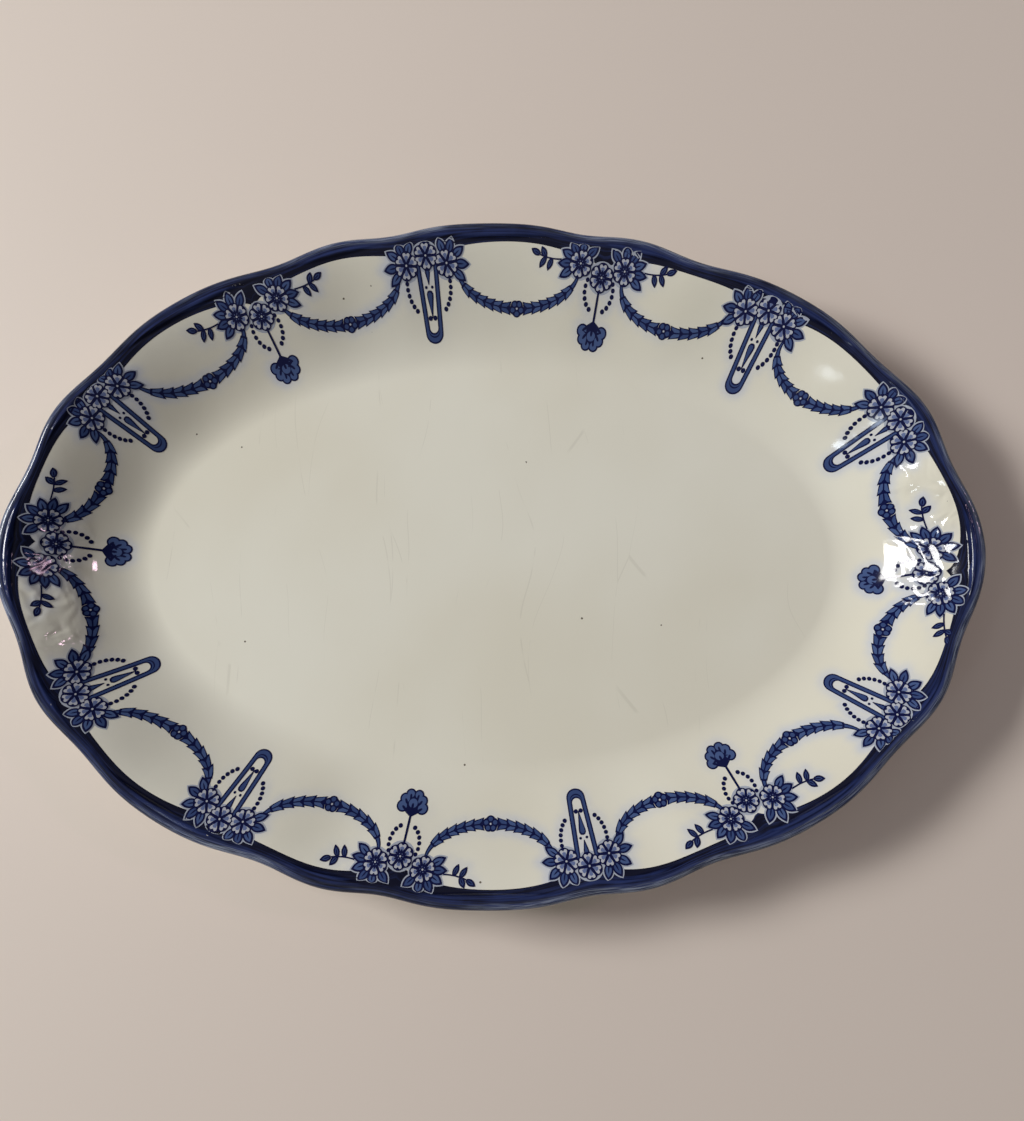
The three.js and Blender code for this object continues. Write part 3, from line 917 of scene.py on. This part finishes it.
def draw_rosette(drawing, centre):
    drawing.fill(scalloped(centre, ROSETTE_RADIUS, 5, 0.14, 90), "ink_dark", PENDANT_LIFT + LAYER, centre)
    for petal in range(5):
        place = polar(centre, 90 + 72 * petal, ROSETTE_RADIUS * 0.58)
        drawing.dot(place, ROSETTE_RADIUS * 0.27, "ink_mid", PENDANT_LIFT + 2 * LAYER, sides=10)
    drawing.dot(centre, 0.36, "petal", PENDANT_LIFT + 2 * LAYER, sides=8)


def make_garland(index, inks):
    """Husks overlap from both ends of the garland towards the rosette in its middle."""
    place, length = path_frame(garland_path(index))
    drawing = Drawing(place)
    middle = length / 2
    gap = ROSETTE_RADIUS - ROSETTE_OVERLAP
    reach = middle - gap - GARLAND_STEM
    count = max(3, round(reach / HUSK_PITCH))
    pitch = reach / (count + HUSK_PAST)
    for forwards, origin in ((1, 0), (-1, length)):
        stem = [(origin + forwards * GARLAND_STEM * share, 0) for share in np.linspace(0, 1.05, 9)]
        core = stem[1:-1]
        drawing.line(stem, np.linspace(*GARLAND_STEM_WIDTHS, len(stem)), "ink_dark", PENDANT_LIFT)
        drawing.line(core, np.linspace(*GARLAND_CORE_WIDTHS, len(core)), "ink_mid", PENDANT_LIFT + LAYER)
        for husk in range(count):
            start = origin + forwards * (GARLAND_STEM + husk * pitch)
            half_width = HUSK_WIDTH / 2 * (0.86 + 0.14 * husk / count)
            draw_husk(drawing, start, forwards, pitch, half_width, "ink_mid" if husk % 2 else "ink_soft")
    draw_rosette(drawing, (middle, 0))
    name = f"husk_garland_{index + 1:02d}"
    return drawing.finish(f"print_{name}", inks, name)


# ------------------------------------------------------------------ materials

# How strongly the glaze over the ink mirrors the room.
INK_SHINE = 0.35

# Waves all over the glaze and ripples at the rim's ends: height in metres, and how fine they are.
WAVE_HEIGHT = 0.0001
WAVE_SCALE = 45
RIPPLE_HEIGHT = 0.0013
RIPPLE_SCALE = 100

# Roughness of the glaze where it is whole and where it is worn.
GLOSSY = 0.07
DULL = 0.16

# Heights in metres between which the foot's bare clay gives way to glaze, and the clay's grain.
BARE_TOP = 0.0004
GLAZE_START = 0.0009
GRAIN_HEIGHT = 0.00003
GRAIN_SCALE = 1400


def shade(red, green, blue):
    """A colour as a screen shows it, from 0 to 255, turned into the renderer's linear colour."""
    levels = [channel / 255 for channel in (red, green, blue)]
    linear = [level / 12.92 if level <= 0.04045 else ((level + 0.055) / 1.055) ** 2.4 for level in levels]
    return (*linear, 1)


class Nodes:
    """Short ways to add nodes to one material and join them up."""

    def __init__(self, name, colour, roughness):
        self.material = bpy.data.materials.new(name)
        self.material.use_nodes = True
        self.tree = self.material.node_tree
        self.shader = self.tree.nodes["Principled BSDF"]
        self.shader.inputs["Base Color"].default_value = colour
        self.shader.inputs["Roughness"].default_value = roughness
        self.place = self.tree.nodes.new("ShaderNodeTexCoord").outputs["Object"]

    def link(self, value, socket):
        if isinstance(value, bpy.types.NodeSocket):
            self.tree.links.new(value, socket)
        else:
            socket.default_value = value

    def noise(self, scale, detail=2, vector=None, distortion=0):
        node = self.tree.nodes.new("ShaderNodeTexNoise")
        node.inputs["Scale"].default_value = scale
        node.inputs["Detail"].default_value = detail
        node.inputs["Distortion"].default_value = distortion
        self.link(vector or self.place, node.inputs["Vector"])
        return node.outputs["Fac"]

    def math(self, operation, first, second=0.0, clamp=False):
        node = self.tree.nodes.new("ShaderNodeMath")
        node.operation = operation
        node.use_clamp = clamp
        self.link(first, node.inputs[0])
        self.link(second, node.inputs[1])
        return node.outputs[0]

    def between(self, value, low, high, start=0.0, end=1.0):
        """Maps low..high to start..end, held at both ends."""
        node = self.tree.nodes.new("ShaderNodeMapRange")
        node.interpolation_type = "SMOOTHSTEP"
        for name, number in (("From Min", low), ("From Max", high), ("To Min", start), ("To Max", end)):
            node.inputs[name].default_value = number
        self.link(value, node.inputs["Value"])
        return node.outputs["Result"]

    def mix(self, share, first, second):
        node = self.tree.nodes.new("ShaderNodeMix")
        node.data_type = "RGBA"
        self.link(share, node.inputs["Factor"])
        self.link(first, node.inputs["A"])
        self.link(second, node.inputs["B"])
        return node.outputs["Result"]

    def attribute(self, name):
        node = self.tree.nodes.new("ShaderNodeAttribute")
        node.attribute_name = name
        return node.outputs["Fac"]

    def combine(self, x, y, z):
        node = self.tree.nodes.new("ShaderNodeCombineXYZ")
        for value, socket in zip((x, y, z), node.inputs):
            self.link(value, socket)
        return node.outputs[0]

    def separate(self):
        node = self.tree.nodes.new("ShaderNodeSeparateXYZ")
        self.link(self.place, node.inputs[0])
        return node.outputs

    def voronoi(self, scale, feature, vector=None):
        node = self.tree.nodes.new("ShaderNodeTexVoronoi")
        node.feature = feature
        node.inputs["Scale"].default_value = scale
        self.link(vector or self.place, node.inputs["Vector"])
        return node.outputs["Distance"]

    def paint(self, colour):
        self.link(colour, self.shader.inputs["Base Color"])

    def bump(self, height, distance):
        """Bumps as high as the distance, in metres, where the height is 1."""
        node = self.tree.nodes.new("ShaderNodeBump")
        node.inputs["Distance"].default_value = distance
        self.link(height, node.inputs["Height"])
        self.link(node.outputs["Normal"], self.shader.inputs["Normal"])

    def glaze_surface(self):
        """Glaze that lies in faint waves, with ripples where it ran thick at both ends of the rim."""
        waves = self.math("MULTIPLY", self.noise(WAVE_SCALE, 1), WAVE_HEIGHT)
        ripples = self.math("MULTIPLY", self.noise(RIPPLE_SCALE, 1, distortion=0.9), RIPPLE_HEIGHT)
        ripples = self.math("MULTIPLY", ripples, self.attribute("ripple"))
        self.bump(self.math("ADD", waves, ripples), 1)
        patches = self.noise(35, 4)
        self.link(self.between(patches, 0.4, 0.65, GLOSSY, DULL), self.shader.inputs["Roughness"])


def glaze_material():
    """White glaze, greyed with age, with a bluish flow near the print, knife marks and dark specks."""
    nodes = Nodes("glaze", shade(226, 224, 213), 0.1)
    nodes.glaze_surface()
    clouds = nodes.noise(9, 3)
    white = nodes.mix(nodes.between(clouds, 0.35, 0.7), shade(227, 226, 214), shade(220, 217, 202))
    patches = nodes.between(nodes.noise(22, 3), 0.4, 0.65, 0.05, 0.75)
    flow = nodes.math("MULTIPLY", nodes.attribute("flow"), patches)
    tinted = nodes.mix(flow, white, shade(192, 199, 215))
    curved = nodes.math("MULTIPLY", nodes.noise(14, 1), 0.03)
    x, y, _ = nodes.separate()
    slanted = nodes.combine(nodes.math("ADD", x, curved), nodes.math("MULTIPLY", y, 0.1), 0.0)
    edges = nodes.voronoi(46, "DISTANCE_TO_EDGE", slanted)
    broken = nodes.between(nodes.noise(60, 2), 0.5, 0.6)
    marks = nodes.math("MULTIPLY", nodes.between(edges, 0.0015, 0.005, 0.14, 0), broken)
    marks = nodes.math("MULTIPLY", marks, nodes.between(nodes.attribute("rim_share"), -0.1, 0.2, 1, 0))
    scored = nodes.mix(marks, tinted, shade(150, 146, 134))
    spot = nodes.math("LESS_THAN", nodes.voronoi(85, "F1"), 0.035)
    specks = nodes.math("MULTIPLY", spot, nodes.math("GREATER_THAN", nodes.noise(300, 0), 0.54))
    nodes.paint(nodes.mix(specks, scored, shade(96, 88, 76)))
    return nodes.material


def foot_material():
    """Bare clay on the standing edge, glazed above it."""
    nodes = Nodes("foot_clay", shade(205, 196, 176), 0.8)
    grain = nodes.noise(GRAIN_SCALE, 3)
    bare = nodes.mix(grain, shade(182, 168, 142), shade(216, 206, 186))
    height = nodes.separate()[2]
    glazed = nodes.between(height, BARE_TOP, GLAZE_START)
    nodes.paint(nodes.mix(glazed, bare, shade(224, 221, 209)))
    nodes.link(nodes.between(height, BARE_TOP, GLAZE_START, 0.8, 0.12), nodes.shader.inputs["Roughness"])
    nodes.bump(grain, GRAIN_HEIGHT)
    return nodes.material


# How fine the band's streaks are along it, for each metre, and across it, for its whole width.
STREAK_LENGTHWAYS = 40
STREAK_CROSSWAYS = 7


def band_material():
    """Cobalt, dark along the inner edge and lighter outwards, with painted shade in the grooves and a
    painted highlight on the ridges of the rolls, and worn thin on the lip.
    """
    nodes = Nodes("band_cobalt", shade(24, 32, 68), 0.12)
    nodes.shader.inputs["Specular IOR Level"].default_value = INK_SHINE
    nodes.glaze_surface()
    across = nodes.attribute("across")
    relief = nodes.attribute("relief")
    x, y, _ = nodes.separate()
    streak_place = nodes.combine(
        nodes.math("MULTIPLY", x, STREAK_LENGTHWAYS),
        nodes.math("MULTIPLY", y, STREAK_LENGTHWAYS),
        nodes.math("MULTIPLY", across, STREAK_CROSSWAYS),
    )
    streaks = nodes.noise(1, 4, streak_place)
    mottle = nodes.noise(160, 3)
    patches = nodes.noise(16, 3)
    outwards = nodes.between(across, 0.3, 1.0, -0.15, 0.4)
    # The rolls' height lightens the ridges and darkens the grooves: a painted highlight and painted shade
    # that follow the relief.
    tone = nodes.math("ADD", outwards, nodes.math("MULTIPLY", relief, 0.7))
    tone = nodes.math("ADD", tone, nodes.between(streaks, 0.3, 0.7, -0.5, 0.5))
    tone = nodes.math("ADD", tone, nodes.between(patches, 0.35, 0.65, -0.15, 0.2))
    tone = nodes.math("ADD", tone, nodes.between(mottle, 0.3, 0.7, -0.1, 0.15), clamp=True)
    dark = nodes.mix(tone, shade(0, 3, 32), shade(32, 45, 92))
    worn_patches = nodes.between(patches, 0.42, 0.58, 0.15, 0.85)
    worn = nodes.math("MULTIPLY", nodes.between(across, 0.95, 1.5), worn_patches)
    fine = nodes.between(nodes.noise(3, 3, streak_place), 0.42, 0.62, 0.1, 1)
    worn = nodes.math("MULTIPLY", worn, fine)
    nodes.paint(nodes.mix(worn, dark, shade(150, 160, 180)))
    return nodes.material


def ink_material(name, colour):
    """Print under the glaze: the ink's own colour, with the glaze's waves and gloss over it."""
    nodes = Nodes(name, colour, 0.1)
    nodes.shader.inputs["Specular IOR Level"].default_value = INK_SHINE
    nodes.glaze_surface()
    return nodes.material


def make_inks():
    colours = {
        "halo": shade(166, 173, 188),
        "ink_dark": shade(0, 8, 60),
        "ink_mid": shade(50, 69, 116),
        "ink_soft": shade(66, 86, 132),
        "petal": shade(176, 180, 192),
        "petal_shade": shade(96, 110, 152),
    }
    return [ink_material(name, colours[name]) for name in INK_NAMES]


def floor_material():
    """A plain pale table top."""
    nodes = Nodes("pale_floor", shade(219, 208, 199), 0.55)
    nodes.paint(nodes.mix(nodes.noise(2.5, 3), shade(222, 211, 202), shade(215, 204, 195)))
    return nodes.material


# ------------------------------------------------------------------ stage, light and camera


FLOOR_HALF = 4.0


def make_floor():
    corners = [(x * FLOOR_HALF, y * FLOOR_HALF, 0) for x, y in ((-1, -1), (1, -1), (1, 1), (-1, 1))]
    mesh = bpy.data.meshes.new("floor")
    mesh.from_pydata(corners, [], [(0, 1, 2, 3)])
    mesh.materials.append(floor_material())
    floor = bpy.data.objects.new("floor", mesh)
    bpy.context.scene.collection.objects.link(floor)


def add_area_light(name, place, size, power, colour):
    """A rectangular light that faces the platter."""
    light = bpy.data.lights.new(name, "AREA")
    light.shape = "RECTANGLE"
    light.size, light.size_y = size
    light.energy = power
    light.color = colour
    lamp = bpy.data.objects.new(name, light)
    lamp.location = place
    lamp.rotation_mode = "QUATERNION"
    lamp.rotation_quaternion = (-Vector(place)).to_track_quat("-Z", "Y")
    bpy.context.scene.collection.objects.link(lamp)


# The lights: name, place and size in metres, power in watts and colour.
LIGHTS = (
    ("side_window", (-1.66, 0.43, 1.31), (0.72, 0.5), 39, (1.0, 0.985, 0.955)),
    ("front_window", (-0.87, -0.74, 1.16), (0.12, 0.11), 0.5, (0.8, 0.91, 1.0)),
    ("far_lamp", (0.9, 0.3, 1.03), (0.09, 0.09), 0.8, (1.0, 0.66, 0.84)),
)

# The room's brightness from the table's height to overhead, and its share of that from the middle to the
# dark side. A span is where between, as the upward or sideways part of a direction.
ROOM_RISE = (0.1, 0.38)
ROOM_RISE_SPAN = (0, 1)
ROOM_FALL = (0.96, 0.15)
ROOM_FALL_SPAN = (-0.1, 0.8)
ROOM_COLOUR = (1.0, 0.97, 0.93, 1)


def make_lights():
    """The three lights and a soft room that is darker on one side."""
    for light in LIGHTS:
        add_area_light(*light)
    world = bpy.data.worlds.new("soft_room")
    world.use_nodes = True
    nodes = world.node_tree.nodes
    links = world.node_tree.links
    direction = nodes.new("ShaderNodeSeparateXYZ")
    links.new(nodes.new("ShaderNodeTexCoord").outputs["Generated"], direction.inputs[0])
    strength = nodes.new("ShaderNodeMath")
    strength.operation = "MULTIPLY"
    changes = (("Z", ROOM_RISE_SPAN, ROOM_RISE), ("X", ROOM_FALL_SPAN, ROOM_FALL))
    for index, (axis, span, levels) in enumerate(changes):
        level = nodes.new("ShaderNodeMapRange")
        for name, number in zip(("From Min", "From Max", "To Min", "To Max"), (*span, *levels)):
            level.inputs[name].default_value = number
        links.new(direction.outputs[axis], level.inputs["Value"])
        links.new(level.outputs["Result"], strength.inputs[index])
    background = nodes["Background"]
    background.inputs["Color"].default_value = ROOM_COLOUR
    links.new(strength.outputs[0], background.inputs["Strength"])
    bpy.context.scene.world = world
    bpy.context.scene.view_settings.view_transform = "Standard"


# The camera: lens in millimetres for a 36 mm sensor, place over the lip in metres, and the direction from
# the platter to the camera.
LENS = 35.33
SENSOR = 36
CAMERA_PLACE = (0.01726, -0.06012, 0.3952)
CAMERA_BACKWARDS = (0.0193, -0.1416, 0.9897)


def make_camera():
    """Looks down on the platter from a little in front of it, as someone standing at the table does."""
    camera = bpy.data.cameras.new("camera")
    camera.lens = LENS
    camera.sensor_width = SENSOR
    eye = bpy.data.objects.new("camera", camera)
    lip = Vector((0, 0, cad_box[1].z))
    backwards = Vector(CAMERA_BACKWARDS).normalized()
    right = Vector((0, 1, 0)).cross(backwards).normalized()
    up = backwards.cross(right)
    turn = Matrix((right, up, backwards)).transposed().to_4x4()
    eye.matrix_world = Matrix.Translation(Vector(CAMERA_PLACE) + lip) @ turn
    bpy.context.scene.collection.objects.link(eye)
    bpy.context.scene.camera = eye


# ------------------------------------------------------------------ assembly


def main():
    make_camera()
    body = make_body(glaze_material())
    make_foot(foot_material())
    make_band(band_material())
    inks = make_inks()
    prints = []
    for index in range(len(SPRAYS)):
        prints.append(make_spray(index, inks))
        prints.append(make_pendant(index, inks))
        prints.append(make_garland(index, inks))
    mark_flow(body, prints)
    make_floor()
    make_lights()


main()
